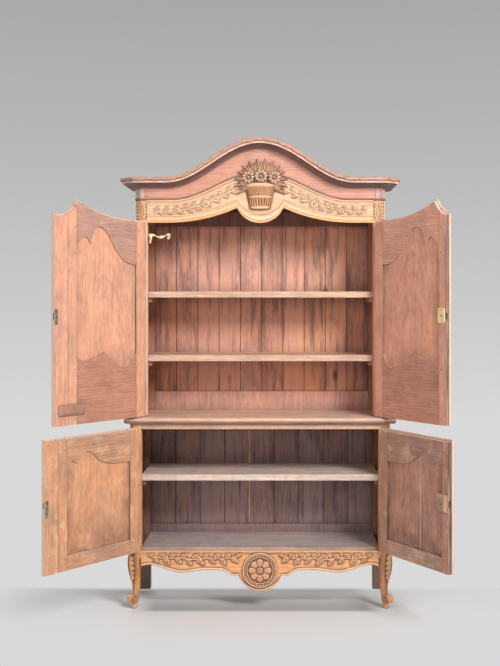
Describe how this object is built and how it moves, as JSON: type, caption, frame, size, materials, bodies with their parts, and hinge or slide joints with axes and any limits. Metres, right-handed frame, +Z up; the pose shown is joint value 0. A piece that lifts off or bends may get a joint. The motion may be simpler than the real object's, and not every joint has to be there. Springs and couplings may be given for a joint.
{
  "type": "two-part buffet cupboard",
  "caption": "Two-part oak buffet with an arched carved cornice, panelled doors on barrel hinges, shelves inside both bodies, sliding lock bolts and scroll-footed legs.",
  "frame": {"origin": "centre of the bounding box's bottom face, on the floor, with the doors open as pictured", "axes": "+Z is up, the front faces -Y, +X is to the right as seen from the front"},
  "size_m": [1.8753, 1.0094, 2.358],
  "materials": {
    "oak_carved": "waxed honey-coloured oak",
    "oak_case": "waxed reddish-brown oak",
    "oak_inside": "dry dark boards",
    "oak_door": "bare light oak",
    "oak_panel": "bare oak",
    "forged_iron": "dark worn iron"
  },
  "bodies": {
    "carcass": {"front_left_leg": "oak_carved", "front_right_leg": "oak_carved", "lower_left_side": "oak_case", "lower_right_side": "oak_case", "apron_rail": "oak_carved", "waist_top": "oak_case", "lower_back": "oak_inside", "lower_floor": "oak_inside", "lower_shelf": "oak_inside", "upper_left_post": "oak_carved", "upper_right_post": "oak_carved", "upper_left_side": "oak_case", "upper_right_side": "oak_case", "carved_rail": "oak_carved", "upper_back": "oak_inside", "middle_shelf": "oak_inside", "upper_shelf": "oak_inside", "cornice": "oak_case", "flower_basket": "oak_carved", "upper_left_door_lower_hinge_pin": "forged_iron", "upper_left_door_upper_hinge_pin": "forged_iron", "upper_right_door_lower_hinge_pin": "forged_iron", "upper_right_door_upper_hinge_pin": "forged_iron", "lower_left_door_lower_hinge_pin": "forged_iron", "lower_left_door_upper_hinge_pin": "forged_iron", "lower_right_door_lower_hinge_pin": "forged_iron", "lower_right_door_upper_hinge_pin": "forged_iron"},
    "upper_left_door": {"upper_left_door_hinge_stile": "oak_door", "upper_left_door_meeting_stile": "oak_door", "upper_left_door_false_stile": "oak_door", "upper_left_door_top_rail": "oak_door", "upper_left_door_bottom_rail": "oak_door", "upper_left_door_panel": "oak_panel", "upper_left_door_lower_hinge_cap": "forged_iron", "upper_left_door_upper_hinge_cap": "forged_iron"},
    "upper_right_door": {"upper_right_door_hinge_stile": "oak_door", "upper_right_door_meeting_stile": "oak_door", "upper_right_door_top_rail": "oak_door", "upper_right_door_bottom_rail": "oak_door", "upper_right_door_panel": "oak_panel", "upper_right_door_lower_hinge_cap": "forged_iron", "upper_right_door_upper_hinge_cap": "forged_iron"},
    "lower_left_door": {"lower_left_door_hinge_stile": "oak_door", "lower_left_door_meeting_stile": "oak_door", "lower_left_door_false_stile": "oak_door", "lower_left_door_top_rail": "oak_door", "lower_left_door_bottom_rail": "oak_door", "lower_left_door_panel": "oak_panel", "lower_left_door_lower_hinge_cap": "forged_iron", "lower_left_door_upper_hinge_cap": "forged_iron"},
    "lower_right_door": {"lower_right_door_hinge_stile": "oak_door", "lower_right_door_meeting_stile": "oak_door", "lower_right_door_top_rail": "oak_door", "lower_right_door_bottom_rail": "oak_door", "lower_right_door_panel": "oak_panel", "lower_right_door_lower_hinge_cap": "forged_iron", "lower_right_door_upper_hinge_cap": "forged_iron", "lower_right_door_lock_case": "oak_panel"},
    "upper_lock_bolt": {"upper_right_door_lock_bolt": "forged_iron"},
    "lower_lock_bolt": {"lower_right_door_lock_bolt": "forged_iron"}
  },
  "joints": [
    {"name": "upper_left_door_hinge", "type": "hinge", "parent": "carcass", "child": "upper_left_door", "pos_m": [-0.5395, 0.0985, 1.45], "axis": [0, 0, -1], "range_deg": [-126, 46]},
    {"name": "upper_right_door_hinge", "type": "hinge", "parent": "carcass", "child": "upper_right_door", "pos_m": [0.6335, 0.0985, 1.45], "axis": [0, 0, 1], "range_deg": [-123.3, 48.7]},
    {"name": "lower_left_door_hinge", "type": "hinge", "parent": "carcass", "child": "lower_left_door", "pos_m": [-0.563, 0.0385, 0.6], "axis": [0, 0, -1], "range_deg": [-125, 47]},
    {"name": "lower_right_door_hinge", "type": "hinge", "parent": "carcass", "child": "lower_right_door", "pos_m": [0.657, 0.0385, 0.6], "axis": [0, 0, 1], "range_deg": [-118.8, 53.2]},
    {"name": "upper_lock_bolt_slide", "type": "slide", "parent": "upper_right_door", "child": "upper_lock_bolt", "axis": [0.549, -0.8358, 0], "range_m": [0, 0.012]},
    {"name": "lower_lock_bolt_slide", "type": "slide", "parent": "lower_right_door", "child": "lower_lock_bolt", "axis": [0.4817, -0.8763, 0], "range_m": [0, 0.012]}
  ]
}
